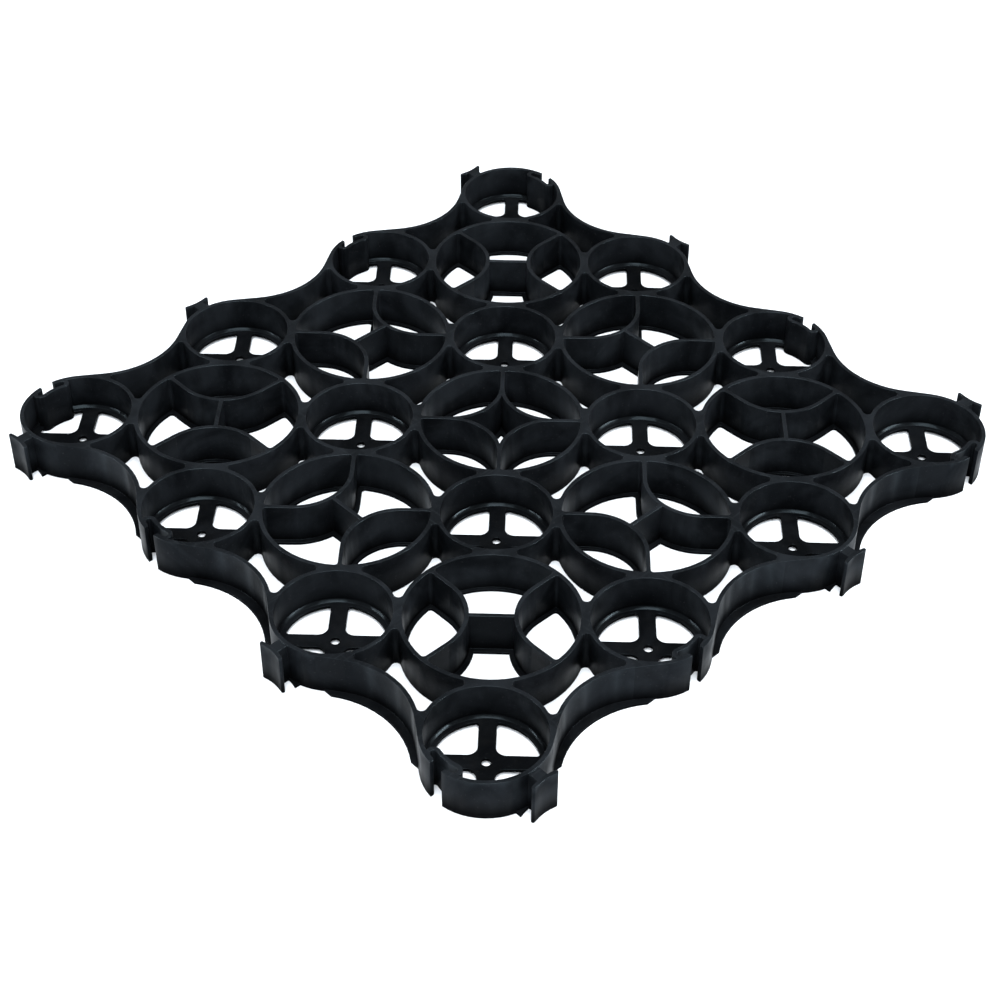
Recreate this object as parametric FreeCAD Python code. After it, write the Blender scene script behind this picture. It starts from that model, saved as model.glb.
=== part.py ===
# Grass paver grid: one moulded tile of pots, big rings and petal walls, lying with its base on z = 0.
# X and Y run along the tile's sides, and the origin is under the tile's middle.
import FreeCAD, Part
import os
from math import asin, atan2, cos, hypot, pi, sin, sqrt

Vector = FreeCAD.Vector

# The tile as a whole
LAID_SIZE = 500.0  # one tile's share of the ground, from joint to joint
JOINT_PITCH = 82.4  # from an outermost pot's centre to that of the next tile's pot
POTS_PER_SIDE = 4
HEIGHT = 30.0
WALL = 2.8

# Pots, and the floor in each of them
POT_RADIUS = 40.0  # outside of the wall
FLOOR_UNDERSIDE = 2.0  # above the ground
FLOOR_THICKNESS = 2.2
FLOOR_LEDGE = 4.6  # between the wall and the openings of the floor
FLOOR_COVE = 1.8  # bevel between the wall and the floor
FLOOR_BAR = 11.0  # width of the floor's crossed bars
OPENING_CORNER = 6.5  # rounding of the floor's openings beside the hub
OPENING_TIP = 2.0  # rounding of their corners beside the wall
HUB_HOLE = 6.0  # diameter

# Rings, which touch the pots, with the petal walls inside them, and scallops along the tile's edge
PETAL_RADIUS = 37.3  # middle of the wall
PETAL_CORNER = 2.2  # rounding between a petal wall and its ring
NECK_ROUND = 3.0  # rounding between a pot and a ring, where the solid neck between them ends
SCALLOP_GAP = 1.7  # between a pot's circle and a scallop's

# Flange round the foot of the rings, petals and scallops
FLANGE_THICKNESS = 2.0
FLANGE_WIDTH = 2.4  # along the rings, and inside the petals
BACK_FLANGE = 3.1  # along the petals' backs and the webs
SCALLOP_FLANGE = 6.0  # in a scallop's middle
SCALLOP_FLANGE_END = 3.0
FLANGE_STEP = 9.4  # from the foremost point of a pot back to the end of the scallops' flange

# Tongues, and the pockets in the next tile's pots that they slide into from above
TONGUE_HEAD_WIDTH = 20.4
TONGUE_HEAD_THICKNESS = 2.6
TONGUE_STEM_WIDTH = 8.0
TONGUE_DROP = 0.6  # from the rims down to a tongue's top
TONGUE_FOOT = 24.2  # width of the flange at a tongue's root
JOINT_GAP = 1.9  # between that flange and the next tile's pot
JAW_THICKNESS = 3.5  # pot wall in front of a pocket
JAW_ROUND = 2.0  # rounding of the jaws' tips inside the pocket
POCKET_CLEARANCE = 0.8  # round a tongue

DIAGONAL = 1 / sqrt(2)
POT_PITCH = (LAID_SIZE - JOINT_PITCH) / (POTS_PER_SIDE - 1)
EDGE = (POTS_PER_SIDE - 1) / 2 * POT_PITCH  # line of the outermost pots' centres
HALF_PITCH = POT_PITCH / 2
POT_INSIDE = POT_RADIUS - WALL
RING_RADIUS = POT_PITCH * DIAGONAL - POT_RADIUS  # outside of the wall
RING_INSIDE = RING_RADIUS - WALL
SCALLOP_RADIUS = RING_RADIUS - SCALLOP_GAP
FLOOR_TOP = FLOOR_UNDERSIDE + FLOOR_THICKNESS
PETAL_HUB = PETAL_RADIUS / DIAGONAL  # from the ring's centre to the centre of a petal's arc
FLANGE_REACH = POT_RADIUS - FLANGE_STEP  # end of the scallops' flange, from the pots' centres


def frame(centre, angle):
    """Return a function that places local plan points about a centre, turned by an angle."""
    def place(u, v):
        x = centre[0] + u * cos(angle) - v * sin(angle)
        y = centre[1] + u * sin(angle) + v * cos(angle)
        return Vector(x, y, 0)
    return place


def outline(start, *steps):
    """Draw a wire from start. A step is a line's end, or an arc's middle and end."""
    edges = []
    here = start
    for step in steps:
        if isinstance(step, tuple):
            middle, end = step
            edges.append(Part.Arc(here, middle, end).toShape())
        else:
            end = step
            edges.append(Part.makeLine(here, end))
        here = end
    return Part.Wire(edges)


def circle(centre, radius):
    """Draw a round outline."""
    return Part.Wire(Part.makeCircle(radius, Vector(centre[0], centre[1], 0)))


def prism(wires, low, high):
    """Extrude a face, the first wire's inside less the others', between two heights."""
    face = Part.makeFace(wires, "Part::FaceMakerBullseye")
    face.translate(Vector(0, 0, low))
    return face.extrude(Vector(0, 0, high - low))


def rounding(offset, radius, bend):
    """Rounding of a corner between a line, at an offset along a ray from a circle's centre, and that circle.

    The points are on the line, in the rounding's middle and on the circle, along the ray and off it. The
    corner is on the circle's inside for a positive bend and on its outside for a negative one.
    """
    size = abs(bend)
    hub = radius - bend
    off = offset + size
    along = sqrt(hub ** 2 - off ** 2)
    to_circle = (along / hub * size / bend, off / hub * size / bend)
    lean = (to_circle[0], to_circle[1] - 1)
    scale = size / hypot(lean[0], lean[1])
    return ((along, offset), (along + scale * lean[0], off + scale * lean[1]),
            (along + size * to_circle[0], off + size * to_circle[1]))


def wedge_corner(offset, radius, bend):
    """The same rounding in a right-angled wedge between two rays: its points along the wedge and off it."""
    points = rounding(offset, radius, bend)
    return [((along + off) * DIAGONAL, (along - off) * DIAGONAL) for along, off in points]


def petal_cell(centre, angle, flanged):
    """Outline of the cell inside one petal, which opens outwards along the angle."""
    at = frame(centre, angle)
    inset = FLANGE_WIDTH if flanged else 0
    half = WALL / 2 + inset
    inside = RING_INSIDE - inset
    bend = PETAL_RADIUS - half
    turn = (PETAL_HUB - bend * DIAGONAL, bend * DIAGONAL)
    line, middle, rim = wedge_corner(half, inside, PETAL_CORNER)
    return outline(at(*line), at(*turn),
                   (at(PETAL_HUB - bend, 0), at(turn[0], -turn[1])),
                   at(line[0], -line[1]),
                   (at(middle[0], -middle[1]), at(rim[0], -rim[1])),
                   (at(inside, 0), at(*rim)),
                   (at(*middle), at(*line)))


def side_cell(centre, angle, flanged):
    """Outline of the cell between two opposite petals and the web that joins them."""
    at = frame(centre, angle + pi / 2)
    half = WALL / 2 + (BACK_FLANGE if flanged else 0)
    inside = RING_INSIDE - (FLANGE_WIDTH if flanged else 0)
    bend = PETAL_RADIUS + half
    turn = (bend * DIAGONAL, PETAL_HUB - bend * DIAGONAL)
    web_end = asin(half / bend)
    foot = (half, PETAL_HUB - bend * cos(web_end))
    between = (pi / 4 + web_end) / 2
    curve = (bend * sin(between), PETAL_HUB - bend * cos(between))
    line, middle, rim = wedge_corner(half, inside, PETAL_CORNER)
    return outline(at(*line), at(*turn),
                   (at(*curve), at(*foot)),
                   at(foot[0], -foot[1]),
                   (at(curve[0], -curve[1]), at(turn[0], -turn[1])),
                   at(line[0], -line[1]),
                   (at(middle[0], -middle[1]), at(rim[0], -rim[1])),
                   (at(inside, 0), at(*rim)),
                   (at(*middle), at(*line)))


def star_cell(centre, flanged):
    """Outline of the cell between four petals."""
    bend = PETAL_RADIUS + WALL / 2 + (BACK_FLANGE if flanged else 0)
    tip = (PETAL_RADIUS - sqrt(bend ** 2 - PETAL_RADIUS ** 2)) * DIAGONAL
    quarters = [frame(centre, k * pi / 2) for k in range(4)]
    steps = [(at(PETAL_HUB - bend, 0), at(tip, tip)) for at in quarters]
    return outline(quarters[0](tip, -tip), *steps)


def waist_cell(centre, angle, above, below):
    """Outline of the cell between two pots, along the angle, and two round walls of given radii."""
    at = frame(centre, angle)
    apart = POT_PITCH * DIAGONAL
    to_pot = POT_RADIUS + NECK_ROUND

    def neck(u, v, radius):
        to_wall = radius + NECK_ROUND
        along = (apart ** 2 + to_pot ** 2 - to_wall ** 2) / (2 * apart)
        off = sqrt(to_pot ** 2 - along ** 2)
        hub = (HALF_PITCH - (along + off) * DIAGONAL, (along - off) * DIAGONAL)
        reach = NECK_ROUND * DIAGONAL
        pot = (HALF_PITCH + (hub[0] - HALF_PITCH) * POT_RADIUS / to_pot, hub[1] * POT_RADIUS / to_pot)
        wall = (hub[0] * radius / to_wall, HALF_PITCH + (hub[1] - HALF_PITCH) * radius / to_wall)
        middle = (hub[0] + reach, hub[1] + reach)
        return [at(u * point[0], v * point[1]) for point in (pot, middle, wall)]

    pot_1, neck_1, wall_1 = neck(1, 1, above)
    pot_2, neck_2, wall_2 = neck(1, -1, below)
    pot_3, neck_3, wall_3 = neck(-1, -1, below)
    pot_4, neck_4, wall_4 = neck(-1, 1, above)
    return outline(pot_1, (at(HALF_PITCH - POT_RADIUS, 0), pot_2), (neck_2, wall_2),
                   (at(0, below - HALF_PITCH), wall_3), (neck_3, pot_3),
                   (at(POT_RADIUS - HALF_PITCH, 0), pot_4), (neck_4, wall_4),
                   (at(0, HALF_PITCH - above), wall_1), (neck_1, pot_1))


def floor_opening(centre, angle):
    """Outline of one of the four openings between a floor's crossed bars."""
    at = frame(centre, angle)
    half = FLOOR_BAR / 2
    edge = POT_INSIDE - FLOOR_LEDGE
    corner = half / DIAGONAL
    start = OPENING_CORNER * DIAGONAL
    nose = corner + OPENING_CORNER * (1 / DIAGONAL - 1)
    line, middle, rim = wedge_corner(half, edge, OPENING_TIP)
    return outline(at(*line), at(corner + start, start),
                   (at(nose, 0), at(corner + start, -start)),
                   at(line[0], -line[1]),
                   (at(middle[0], -middle[1]), at(rim[0], -rim[1])),
                   (at(edge, 0), at(*rim)),
                   (at(*middle), at(*line)))


def pot_sites():
    """Centres of the pots, by column and row."""
    steps = range(POTS_PER_SIDE)
    return {(i, j): (i * POT_PITCH - EDGE, j * POT_PITCH - EDGE) for i in steps for j in steps}


def ring_cells(centre, flanged):
    """Outlines of a ring's cells: four petals round a star in the tile's middle, else two and a web."""
    if hypot(centre[0], centre[1]) < HALF_PITCH:
        petals = [petal_cell(centre, k * pi / 2, flanged) for k in range(4)]
        return petals + [star_cell(centre, flanged)]
    across = atan2(centre[1], centre[0]) + pi / 2
    cells = []
    for angle in (across, across + pi):
        cells.append(petal_cell(centre, angle, flanged))
        cells.append(side_cell(centre, angle, flanged))
    return cells


def all_cells(flanged):
    """Outlines of every cell outside the pots, inset where a flange runs round their foot."""
    cells = []
    last = POTS_PER_SIDE - 1
    wall = {True: RING_RADIUS, False: SCALLOP_RADIUS + WALL}
    for (i, j), (x, y) in pot_sites().items():
        if i < last and j < last:
            cells += ring_cells((x + HALF_PITCH, y + HALF_PITCH), flanged)
        if i < last:
            cells.append(waist_cell((x + HALF_PITCH, y), 0, wall[j < last], wall[j > 0]))
        if j < last:
            cells.append(waist_cell((x, y + HALF_PITCH), pi / 2, wall[i > 0], wall[i < last]))
    return cells


def tile_edge(flanged):
    """Outline of the tile: round pots and scallops with straight tangents between, or flanges there."""
    lean = (POT_RADIUS + SCALLOP_RADIUS) / (POT_PITCH * DIAGONAL)
    slip = sqrt(1 - lean ** 2)
    tangent = ((lean - slip) * DIAGONAL, (lean + slip) * DIAGONAL)
    leave = (tangent[0] * POT_RADIUS, tangent[1] * POT_RADIUS)
    meet = (HALF_PITCH - tangent[0] * SCALLOP_RADIUS, HALF_PITCH - tangent[1] * SCALLOP_RADIUS)
    share = (leave[1] - FLANGE_REACH) / (leave[1] - meet[1])
    start = leave[0] + share * (meet[0] - leave[0])
    lip = SCALLOP_RADIUS - SCALLOP_FLANGE_END
    tip = HALF_PITCH - sqrt(lip ** 2 - (HALF_PITCH - FLANGE_REACH) ** 2)
    hollow = HALF_PITCH - SCALLOP_RADIUS
    steps = []
    for side in range(4):
        at = frame((0, 0), side * pi / 2)
        for k in range(POTS_PER_SIDE - 1):
            left = k * POT_PITCH - EDGE
            right = left + POT_PITCH
            middle = left + HALF_PITCH
            if flanged:
                foot = -EDGE - FLANGE_REACH
                steps += [at(left + start, foot), at(left + tip, foot),
                          (at(middle, -EDGE - hollow - SCALLOP_FLANGE), at(right - tip, foot)),
                          at(right - start, foot)]
            else:
                steps += [at(left + meet[0], -EDGE - meet[1]),
                          (at(middle, -EDGE - hollow), at(right - meet[0], -EDGE - meet[1]))]
            steps.append(at(right - leave[0], -EDGE - leave[1]))
            if k < POTS_PER_SIDE - 2:
                steps.append((at(right, -EDGE - POT_RADIUS), at(right + leave[0], -EDGE - leave[1])))
            else:
                corner = EDGE + POT_RADIUS * DIAGONAL
                steps.append((at(corner, -corner), at(EDGE + leave[1], leave[0] - EDGE)))
    return outline(frame((0, 0), 0)(leave[0] - EDGE, -EDGE - leave[1]), *steps)


def tile_slab(low, high):
    """The tile's section between two heights that no step lies between."""
    middle = (low + high) / 2
    flanged = middle < FLANGE_THICKNESS
    floored = FLOOR_UNDERSIDE < middle < FLOOR_TOP
    wires = [tile_edge(flanged)] + all_cells(flanged)
    for centre in pot_sites().values():
        if floored:
            wires += [floor_opening(centre, k * pi / 2) for k in range(4)]
            wires.append(circle(centre, HUB_HOLE / 2))
        else:
            wires.append(circle(centre, POT_INSIDE))
    return prism(wires, low, high)


def floor_coves(tile):
    """Bevel the corner between each pot's wall and the top of its floor."""
    corners = [edge for edge in tile.Edges
               if isinstance(edge.Curve, Part.Circle)
               and abs(edge.Curve.Radius - POT_INSIDE) < 1e-6
               and abs(edge.BoundBox.ZMin - FLOOR_TOP) < 1e-6
               and abs(edge.BoundBox.ZMax - FLOOR_TOP) < 1e-6]
    return tile.makeChamfer(FLOOR_COVE, corners)


def polar(at, radius, angle):
    """Place a point by its distance and its angle off a local frame's first axis."""
    return at(radius * cos(angle), radius * sin(angle))


def curved_strip(centre, radius, half, spread, towards, low, high):
    """Upright strip along a circle, with round ends: its middle radius, half thickness and half angle."""
    at = frame(centre, towards)
    ends = [at(radius * cos(spread) - half * sin(spread), s * (radius * sin(spread) + half * cos(spread)))
            for s in (1, -1)]
    outer = radius + half
    inner = radius - half
    wire = outline(polar(at, outer, -spread),
                   (at(outer, 0), polar(at, outer, spread)),
                   (ends[0], polar(at, inner, spread)),
                   (at(inner, 0), polar(at, inner, -spread)),
                   (ends[1], polar(at, outer, -spread)))
    return prism([wire], low, high)


def pocket(centre, radius, half, spread, slot, towards):
    """Space of a pocket: a curved strip with round ends, and the slot that leads into it between the jaws."""
    at = frame(centre, towards)
    ends = [at(radius * cos(spread) - half * sin(spread), s * (radius * sin(spread) + half * cos(spread)))
            for s in (1, -1)]
    outer = radius + half
    inner = radius - half
    clear = POT_RADIUS + WALL
    line, middle, rim = rounding(slot / 2, outer, -JAW_ROUND)
    between = (atan2(rim[1], rim[0]) + spread) / 2
    wire = outline(at(clear, slot / 2), at(*line), (at(*middle), at(*rim)),
                   (polar(at, outer, between), polar(at, outer, spread)),
                   (ends[0], polar(at, inner, spread)),
                   (at(inner, 0), polar(at, inner, -spread)),
                   (ends[1], polar(at, outer, -spread)),
                   (polar(at, outer, -between), at(rim[0], -rim[1])),
                   (at(middle[0], -middle[1]), at(line[0], -line[1])),
                   at(clear, -slot / 2), at(clear, slot / 2))
    return prism([wire], 0, HEIGHT)


def tongue_root(centre, towards):
    """Stem of a tongue up to the middle of its head's place, and the flange at its foot."""
    at = frame(centre, towards)
    wall = POT_RADIUS - WALL / 2
    head = JOINT_PITCH - POT_RADIUS + JAW_THICKNESS + POCKET_CLEARANCE + TONGUE_HEAD_THICKNESS / 2
    half = TONGUE_STEM_WIDTH / 2
    stem = outline(at(wall, -half), at(head, -half), at(head, half), at(wall, half), at(wall, -half))
    half = TONGUE_FOOT / 2
    near = sqrt(wall ** 2 - half ** 2)
    bound = POT_RADIUS + JOINT_GAP
    far = JOINT_PITCH - sqrt(bound ** 2 - half ** 2)
    foot = outline(at(near, -half), at(far, -half), (at(JOINT_PITCH - bound, 0), at(far, half)),
                   at(near, half), (at(wall, 0), at(near, -half)))
    return [prism([stem], 0, HEIGHT - TONGUE_DROP), prism([foot], 0, FLANGE_THICKNESS)]


def connectors():
    """Solids to add and to cut for the tongues and pockets: they take turns round the tile's edge."""
    head_half = TONGUE_HEAD_THICKNESS / 2
    pocket_half = head_half + POCKET_CLEARANCE
    radius = POT_RADIUS - JAW_THICKNESS - pocket_half
    spread = asin((TONGUE_HEAD_WIDTH / 2 - head_half) / radius)
    slot = TONGUE_STEM_WIDTH + 2 * POCKET_CLEARANCE
    added = []
    cut = []
    for side in range(4):
        at = frame((0, 0), side * pi / 2)
        outward = (side - 1) * pi / 2
        for k in range(POTS_PER_SIDE):
            along = k * POT_PITCH - EDGE
            pot = at(along, -EDGE)
            if k % 2 == 0:
                receiver = at(along, -EDGE - JOINT_PITCH)
                added += tongue_root(pot, outward)
                added.append(curved_strip(receiver, radius, head_half, spread, outward + pi,
                                          0, HEIGHT - TONGUE_DROP))
            else:
                added.append(curved_strip(pot, radius, pocket_half + WALL, spread, outward, 0, HEIGHT))
                cut.append(pocket(pot, radius, pocket_half, spread, slot, outward))
    return added, cut


def paver_grid():
    """The whole tile, one solid."""
    levels = sorted({0.0, FLANGE_THICKNESS, FLOOR_UNDERSIDE, FLOOR_TOP, HEIGHT})
    slabs = [tile_slab(low, high) for low, high in zip(levels, levels[1:])]
    tile = slabs[0].multiFuse(slabs[1:]).removeSplitter()
    tile = floor_coves(tile)
    added, cut = connectors()
    tile = tile.multiFuse(added)
    return tile.cut(Part.makeCompound(cut)).removeSplitter()


os.makedirs("parts", exist_ok=True)
grid = paver_grid()
solid = grid.Solids[0]
solid.exportStep("parts/paver_grid.step")
print("solids", len(grid.Solids), "valid", grid.isValid(), "volume", round(grid.Volume), "box", grid.BoundBox)
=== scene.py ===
import math

import bpy
from mathutils import Matrix, Vector


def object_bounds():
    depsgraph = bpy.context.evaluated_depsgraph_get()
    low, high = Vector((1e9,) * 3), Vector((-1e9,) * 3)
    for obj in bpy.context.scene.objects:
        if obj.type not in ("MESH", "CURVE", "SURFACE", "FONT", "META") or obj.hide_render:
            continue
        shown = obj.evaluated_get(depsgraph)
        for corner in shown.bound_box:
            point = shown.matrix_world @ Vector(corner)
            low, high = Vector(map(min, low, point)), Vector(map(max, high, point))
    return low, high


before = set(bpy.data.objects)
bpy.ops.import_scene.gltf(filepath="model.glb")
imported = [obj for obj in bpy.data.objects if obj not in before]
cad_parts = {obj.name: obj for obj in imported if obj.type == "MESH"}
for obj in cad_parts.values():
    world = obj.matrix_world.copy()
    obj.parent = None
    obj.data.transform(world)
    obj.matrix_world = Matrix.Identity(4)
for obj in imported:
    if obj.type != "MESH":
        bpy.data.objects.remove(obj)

cad_low, cad_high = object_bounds()

# Sizes, in metres
EDGE_ROUND = 0.00025  # moulded rounding of every edge
WELD_GAP = 1e-6  # corners closer than this become one
RIM_DEPTH = 0.0012  # how far down from the top the rims' wear reaches
DUST_HEIGHT = 0.010  # dust lies on floors and flanges below this height
DUST_FULL = 0.006  # dust is at its most below this height
FOOT_SHADE_HEIGHT = 0.018  # painted shade darkens the part below this height, towards the floor
FOOT_SHADE_FULL = 0.0018  # the painted shade is at its darkest below this height
GRAIN_RELIEF = 0.00012  # depth of the moulded grain and of the drawn lines
WAVE_RELIEF = 0.0016  # depth of the slow waves in the walls
FLOOR_SIZE = 40.0

# Angles between faces, in radians
FLAT_ANGLE = 0.01  # faces that meet at less are made one
SHARP_ANGLE = math.radians(35)  # edges that turn by more are rounded
ROUND_STEPS = 2

# Upward part of a face's normal, where a mark starts and where it is full
FACING_UP = (0.6, 0.95)
TILTED = (0.15, 0.40)  # rounded edges and coves are tilted and not level
NOT_LEVEL = (0.98, 0.85)

# Noise scales, per metre, and the part of each noise that shows
MARBLE_SCALE = 24.0
MARBLE_SHOWS = (0.35, 0.68)
FLECK_SCALE = 620.0
FLECK_SHOWS = (0.69, 0.74)
SCUFF_LENGTHWISE = 28.0
SCUFF_ACROSS = 760.0
SCUFF_SHOWS = (0.58, 0.70)
DUST_SCALE = 70.0
DUST_SHOWS = (0.40, 0.75)
GRAIN_SCALE = 1500.0
WAVE_SCALE = 34.0
DRAWN_SCALE = (850.0, 850.0, 18.0)  # upright lines, drawn as the part leaves its mould

# Colours of the plastic, linear
DEEP_BLACK = (0.0031, 0.0038, 0.0048, 1)
WORN_BLACK = (0.0089, 0.0107, 0.0131, 1)
FLECK_GREY = (0.020, 0.021, 0.023, 1)
SCUFF_GREY = (0.015, 0.018, 0.021, 1)
DUST_GREY = (0.11, 0.105, 0.095, 1)
# colour of the painted shade at the foot of the walls
FOOT_SHADE_BLACK = (0.0008, 0.0008, 0.0009, 1)
SHEEN_BLUE = (0.66, 0.87, 1.0, 1)

# How strongly each mark colours the plastic, 0 to 1
FLECK_STRENGTH = 0.5
RIM_WEAR = 0.12
SCUFF_WEAR = 0.45
DUST_STRENGTH = 0.03
# how far the painted shade at the foot darkens the plastic
FOOT_SHADE_STRENGTH = 0.80
FLAT_FOOT_SHADE = 0.6  # share of the painted shade on a level face, where an upright one has 1

# Roughness, and what each mark adds to it
BASE_ROUGH = 0.26
MARBLE_ROUGH = 0.24
WEAR_ROUGH = 0.15
DUST_ROUGH = 0.20
EDGE_ROUGH = -0.16

# Specular level, and what each mark adds to it
WALL_SHEEN = 0.033
# specular level taken off where the foot is painted dark, which hides its reflections
FOOT_SHADE_SHEEN = -0.030
POLISH_SHEEN = 0.24
FOOT_SHADE_POLISH = -0.75  # change of the polish where the painted shade is full

# Relief, as a share of its depth
GRAIN_SHARE = 0.5
DRAWN_SHARE = 0.7
GRAIN_STRENGTH = 0.24
WAVE_STRENGTH = 0.35

# Floor, lights and surround
FLOOR_WHITE = (0.86, 0.91, 0.96, 1)
FLOOR_ROUGH = 0.9
SUN_STRENGTH = 2.6
SUN_WIDTH = math.radians(22)
SKY_WHITE = (1, 1, 1, 1)
SKY_STRENGTH = 0.50
HORIZON_STRENGTH = 0.55  # added to the sky's where it meets the floor
HORIZON_BAND = (0.20, 0.03)  # upward part of the direction, where that starts and is full
SOFTBOXES = (  # name, place, width, depth and watts
    ("front", (-1.15, -1.15, 2.2), 1.40, 1.00, 44),
    ("right", (0.9, -1.45, 0.95), 0.90, 0.12, 25),
    ("left", (-1.45, 0.95, 0.9), 0.60, 0.12, 9),
)

# The photograph's camera, for a square picture
PICTURE_PIXELS = 1000
FOCAL_PIXELS = 1990.6
CENTRE_PIXEL = (498.67, 499.53)
SENSOR_WIDTH = 36.0  # millimetres
CAMERA_PLACE = (-0.75077, -0.78897, 0.88495)
CAMERA_RIGHT = (0.727724, -0.685856, 0.004421)
CAMERA_DOWN = (-0.442590, -0.474512, -0.760889)
CAMERA_REACH = (0.05, 100.0)  # nearest and farthest distance shown


class Graph:
    """Shorthand for building the nodes of a material or of the surround."""

    def __init__(self, owner):
        owner.use_nodes = True
        self.tree = owner.node_tree
        self.tree.nodes.clear()

    def feed(self, target, value):
        """Link a socket to an input, or set the input's own value."""
        if isinstance(value, bpy.types.NodeSocket):
            self.tree.links.new(value, target)
        else:
            target.default_value = value

    def add(self, kind, settings=None, **inputs):
        """Add a node, with its settings and its inputs by name."""
        node = self.tree.nodes.new(kind)
        for key, value in (settings or {}).items():
            setattr(node, key, value)
        for key, value in inputs.items():
            self.feed(node.inputs[key.replace("_", " ")], value)
        return node

    def math(self, operation, *values):
        node = self.add("ShaderNodeMath", {"operation": operation})
        for target, value in zip(node.inputs, values):
            self.feed(target, value)
        return node.outputs[0]

    def stretch(self, vector, scale):
        """Multiply a vector by a scale for each axis."""
        node = self.add("ShaderNodeVectorMath", {"operation": "MULTIPLY"})
        self.feed(node.inputs[0], vector)
        self.feed(node.inputs[1], scale)
        return node.outputs[0]

    def noise(self, vector, scale=1.0, detail=3.0, roughness=0.55, distortion=0.0):
        node = self.add("ShaderNodeTexNoise", Vector=vector, Scale=scale, Detail=detail,
                        Roughness=roughness, Distortion=distortion)
        return node.outputs["Fac"]

    def band(self, value, start, full):
        """Go smoothly from 0 at start to 1 at full, whichever of them is the smaller."""
        node = self.add("ShaderNodeMapRange", {"interpolation_type": "SMOOTHSTEP"}, Value=value)
        rising = start < full
        self.feed(node.inputs["From Min"], start if rising else full)
        self.feed(node.inputs["From Max"], full if rising else start)
        self.feed(node.inputs["To Min"], 0.0 if rising else 1.0)
        self.feed(node.inputs["To Max"], 1.0 if rising else 0.0)
        return node.outputs["Result"]

    def blend(self, factor, first, second):
        """Mix two colours."""
        node = self.add("ShaderNodeMix", {"data_type": "RGBA"})
        for name, value in (("Factor_Float", factor), ("A_Color", first), ("B_Color", second)):
            self.feed(next(s for s in node.inputs if s.identifier == name), value)
        return next(s for s in node.outputs if s.identifier == "Result_Color")


def scuffs(g, place):
    """Fine scratches along both sides of the tile."""
    along_x = g.stretch(place, (SCUFF_LENGTHWISE, SCUFF_ACROSS, 1.0))
    along_y = g.stretch(place, (SCUFF_ACROSS, SCUFF_LENGTHWISE, 1.0))
    marks = [g.band(g.noise(along, detail=2.0), *SCUFF_SHOWS) for along in (along_x, along_y)]
    return g.math("MAXIMUM", *marks)


def relief(g, place, upright):
    """Normal with the moulded grain, the drawn lines of upright walls and slow waves."""
    grain = g.noise(place, GRAIN_SCALE, roughness=0.65)
    drawn = g.noise(g.stretch(place, DRAWN_SCALE), detail=2.0)
    wave = g.noise(place, WAVE_SCALE, detail=2.0, roughness=0.5, distortion=0.4)
    lines = g.math("MULTIPLY", g.math("MULTIPLY", drawn, upright), DRAWN_SHARE)
    height = g.math("MULTIPLY_ADD", grain, GRAIN_SHARE, lines)
    fine = g.add("ShaderNodeBump", Strength=GRAIN_STRENGTH, Distance=GRAIN_RELIEF, Height=height)
    broad = g.add("ShaderNodeBump", Strength=WAVE_STRENGTH, Distance=WAVE_RELIEF, Height=wave,
                  Normal=fine.outputs["Normal"])
    return broad.outputs["Normal"]


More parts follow.
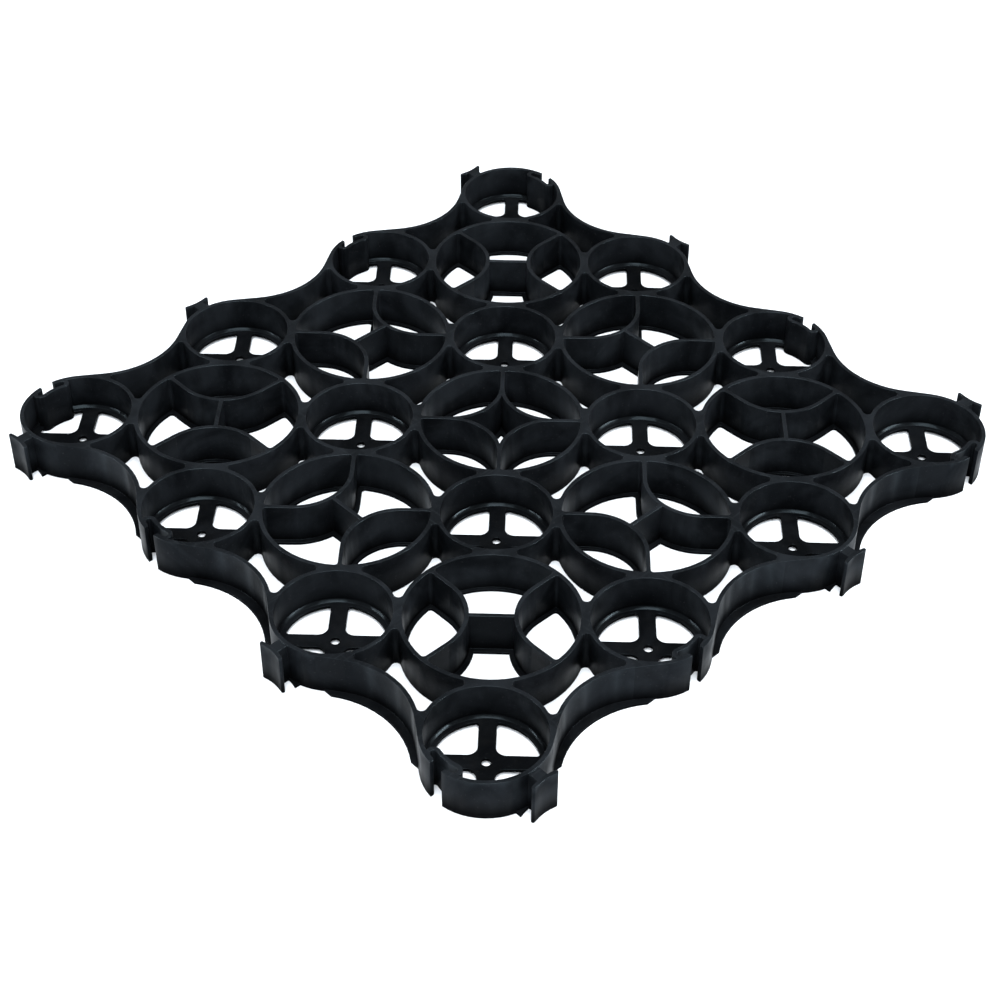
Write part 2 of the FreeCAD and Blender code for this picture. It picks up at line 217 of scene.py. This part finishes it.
def black_plastic(top):
    """Black recycled plastic: marbled, flecked, with worn rims, polished edges, dust, and painted shade
    at its foot.
    """
    material = bpy.data.materials.new("black_plastic")
    g = Graph(material)
    place = g.add("ShaderNodeTexCoord").outputs["Object"]
    height = g.add("ShaderNodeSeparateXYZ", Vector=place).outputs["Z"]
    normal = g.add("ShaderNodeNewGeometry").outputs["Normal"]
    lift = g.add("ShaderNodeSeparateXYZ", Vector=normal).outputs["Z"]

    # Where each mark lies
    facing = g.band(lift, *FACING_UP)
    upright = g.math("SUBTRACT", 1.0, facing)
    edge = g.math("MULTIPLY", g.band(lift, *TILTED), g.band(lift, *NOT_LEVEL))
    rim = g.math("MULTIPLY", facing, g.band(height, top - 2 * RIM_DEPTH, top - RIM_DEPTH))
    low = g.math("MULTIPLY", facing, g.band(height, DUST_HEIGHT, DUST_FULL))
    # painted shade: the foot gets darker and less shiny towards the floor, less on level faces than on
    # upright ones
    foot_shade_share = g.math("MULTIPLY_ADD", upright, 1 - FLAT_FOOT_SHADE, FLAT_FOOT_SHADE)
    foot_shade = g.math("MULTIPLY", foot_shade_share, g.band(height, FOOT_SHADE_HEIGHT, FOOT_SHADE_FULL))
    polish = g.math("MULTIPLY", edge, g.math("MULTIPLY_ADD", foot_shade, FOOT_SHADE_POLISH, 1.0))
    wear = g.math("MULTIPLY", rim, g.math("MULTIPLY_ADD", scuffs(g, place), SCUFF_WEAR, RIM_WEAR))
    film = g.noise(place, DUST_SCALE, detail=5.0, roughness=0.7)
    dusty = g.math("MULTIPLY", low, g.band(film, *DUST_SHOWS))
    marble = g.noise(place, MARBLE_SCALE, detail=4.0, roughness=0.6, distortion=0.8)
    fleck = g.band(g.noise(place, FLECK_SCALE, detail=1.0), *FLECK_SHOWS)

    colour = g.blend(g.band(marble, *MARBLE_SHOWS), DEEP_BLACK, WORN_BLACK)
    colour = g.blend(g.math("MULTIPLY", fleck, FLECK_STRENGTH), colour, FLECK_GREY)
    colour = g.blend(wear, colour, SCUFF_GREY)
    colour = g.blend(g.math("MULTIPLY", dusty, DUST_STRENGTH), colour, DUST_GREY)
    # painted shade at the foot
    colour = g.blend(g.math("MULTIPLY", foot_shade, FOOT_SHADE_STRENGTH), colour, FOOT_SHADE_BLACK)

    rough = g.math("MULTIPLY_ADD", marble, MARBLE_ROUGH, BASE_ROUGH)
    for mark, change in ((wear, WEAR_ROUGH), (dusty, DUST_ROUGH), (edge, EDGE_ROUGH)):
        rough = g.math("MULTIPLY_ADD", mark, change, rough)

    sheen = g.math("MULTIPLY_ADD", foot_shade, FOOT_SHADE_SHEEN, WALL_SHEEN)
    sheen = g.math("MULTIPLY_ADD", polish, POLISH_SHEEN, sheen)
    shader = g.add("ShaderNodeBsdfPrincipled", Base_Color=colour, Roughness=rough,
                   Specular_IOR_Level=sheen, Specular_Tint=SHEEN_BLUE,
                   Normal=relief(g, place, upright))
    g.add("ShaderNodeOutputMaterial", Surface=shader.outputs["BSDF"])
    return material


def dress(node, material):
    """Give a solid of the part its finish and its moulded edge rounding."""
    node.data.materials.clear()
    node.data.materials.append(material)
    weld = node.modifiers.new("weld", "WELD")
    weld.merge_threshold = WELD_GAP
    flat = node.modifiers.new("flat", "DECIMATE")
    flat.decimate_type = "DISSOLVE"
    flat.angle_limit = FLAT_ANGLE
    rounding = node.modifiers.new("edges", "BEVEL")
    rounding.width = EDGE_ROUND
    rounding.segments = ROUND_STEPS
    rounding.limit_method = "ANGLE"
    rounding.angle_limit = SHARP_ANGLE
    rounding.use_clamp_overlap = False
    rounding.loop_slide = False
    rounding.harden_normals = True


def add_to_scene(name, data):
    """Make an object for a light or a camera."""
    thing = bpy.data.objects.new(name, data)
    bpy.context.collection.objects.link(thing)
    return thing


def pale_floor():
    """Wide matt floor under the part."""
    bpy.ops.mesh.primitive_plane_add(size=FLOOR_SIZE, location=(0, 0, 0))
    floor = bpy.context.object
    floor.name = "floor"
    material = bpy.data.materials.new("floor")
    g = Graph(material)
    paint = g.add("ShaderNodeBsdfPrincipled", Base_Color=FLOOR_WHITE, Roughness=FLOOR_ROUGH)
    g.add("ShaderNodeOutputMaterial", Surface=paint.outputs["BSDF"])
    floor.data.materials.append(material)


def softbox(name, place, width, depth, power):
    """Rectangular light that faces the part."""
    light = bpy.data.lights.new(name, "AREA")
    light.shape = "RECTANGLE"
    light.size = width
    light.size_y = depth
    light.energy = power
    lamp = add_to_scene(name, light)
    lamp.location = place
    lamp.rotation_mode = "QUATERNION"
    lamp.rotation_quaternion = (-Vector(place)).to_track_quat("-Z", "Y")


def lights():
    """Soft light straight from above, and the softboxes round the part."""
    sun = bpy.data.lights.new("overhead", "SUN")
    sun.energy = SUN_STRENGTH
    sun.angle = SUN_WIDTH
    add_to_scene("overhead", sun)
    for box in SOFTBOXES:
        softbox(*box)


def surround():
    """White surround, brightest where it meets the floor."""
    world = bpy.data.worlds.new("surround")
    bpy.context.scene.world = world
    g = Graph(world)
    direction = g.add("ShaderNodeTexCoord").outputs["Generated"]
    lift = g.math("ABSOLUTE", g.add("ShaderNodeSeparateXYZ", Vector=direction).outputs["Z"])
    strength = g.math("MULTIPLY_ADD", g.band(lift, *HORIZON_BAND), HORIZON_STRENGTH, SKY_STRENGTH)
    sky = g.add("ShaderNodeBackground", Color=SKY_WHITE, Strength=strength)
    g.add("ShaderNodeOutputWorld", Surface=sky.outputs["Background"])


def camera():
    """The photograph's view."""
    right = Vector(CAMERA_RIGHT).normalized()
    down = Vector(CAMERA_DOWN).normalized()
    ahead = right.cross(down)
    data = bpy.data.cameras.new("camera")
    data.sensor_width = SENSOR_WIDTH
    data.lens = FOCAL_PIXELS * SENSOR_WIDTH / PICTURE_PIXELS
    data.shift_x = (PICTURE_PIXELS / 2 - CENTRE_PIXEL[0]) / PICTURE_PIXELS
    data.shift_y = (CENTRE_PIXEL[1] - PICTURE_PIXELS / 2) / PICTURE_PIXELS
    data.clip_start, data.clip_end = CAMERA_REACH
    eye = add_to_scene("camera", data)
    turn = Matrix((right, -down, -ahead)).transposed()
    eye.matrix_world = Matrix.Translation(CAMERA_PLACE) @ turn.to_4x4()
    bpy.context.scene.camera = eye


dress(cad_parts["paver_grid"], black_plastic(cad_high[2]))
pale_floor()
lights()
surround()
camera()
bpy.context.scene.view_settings.view_transform = "Standard"
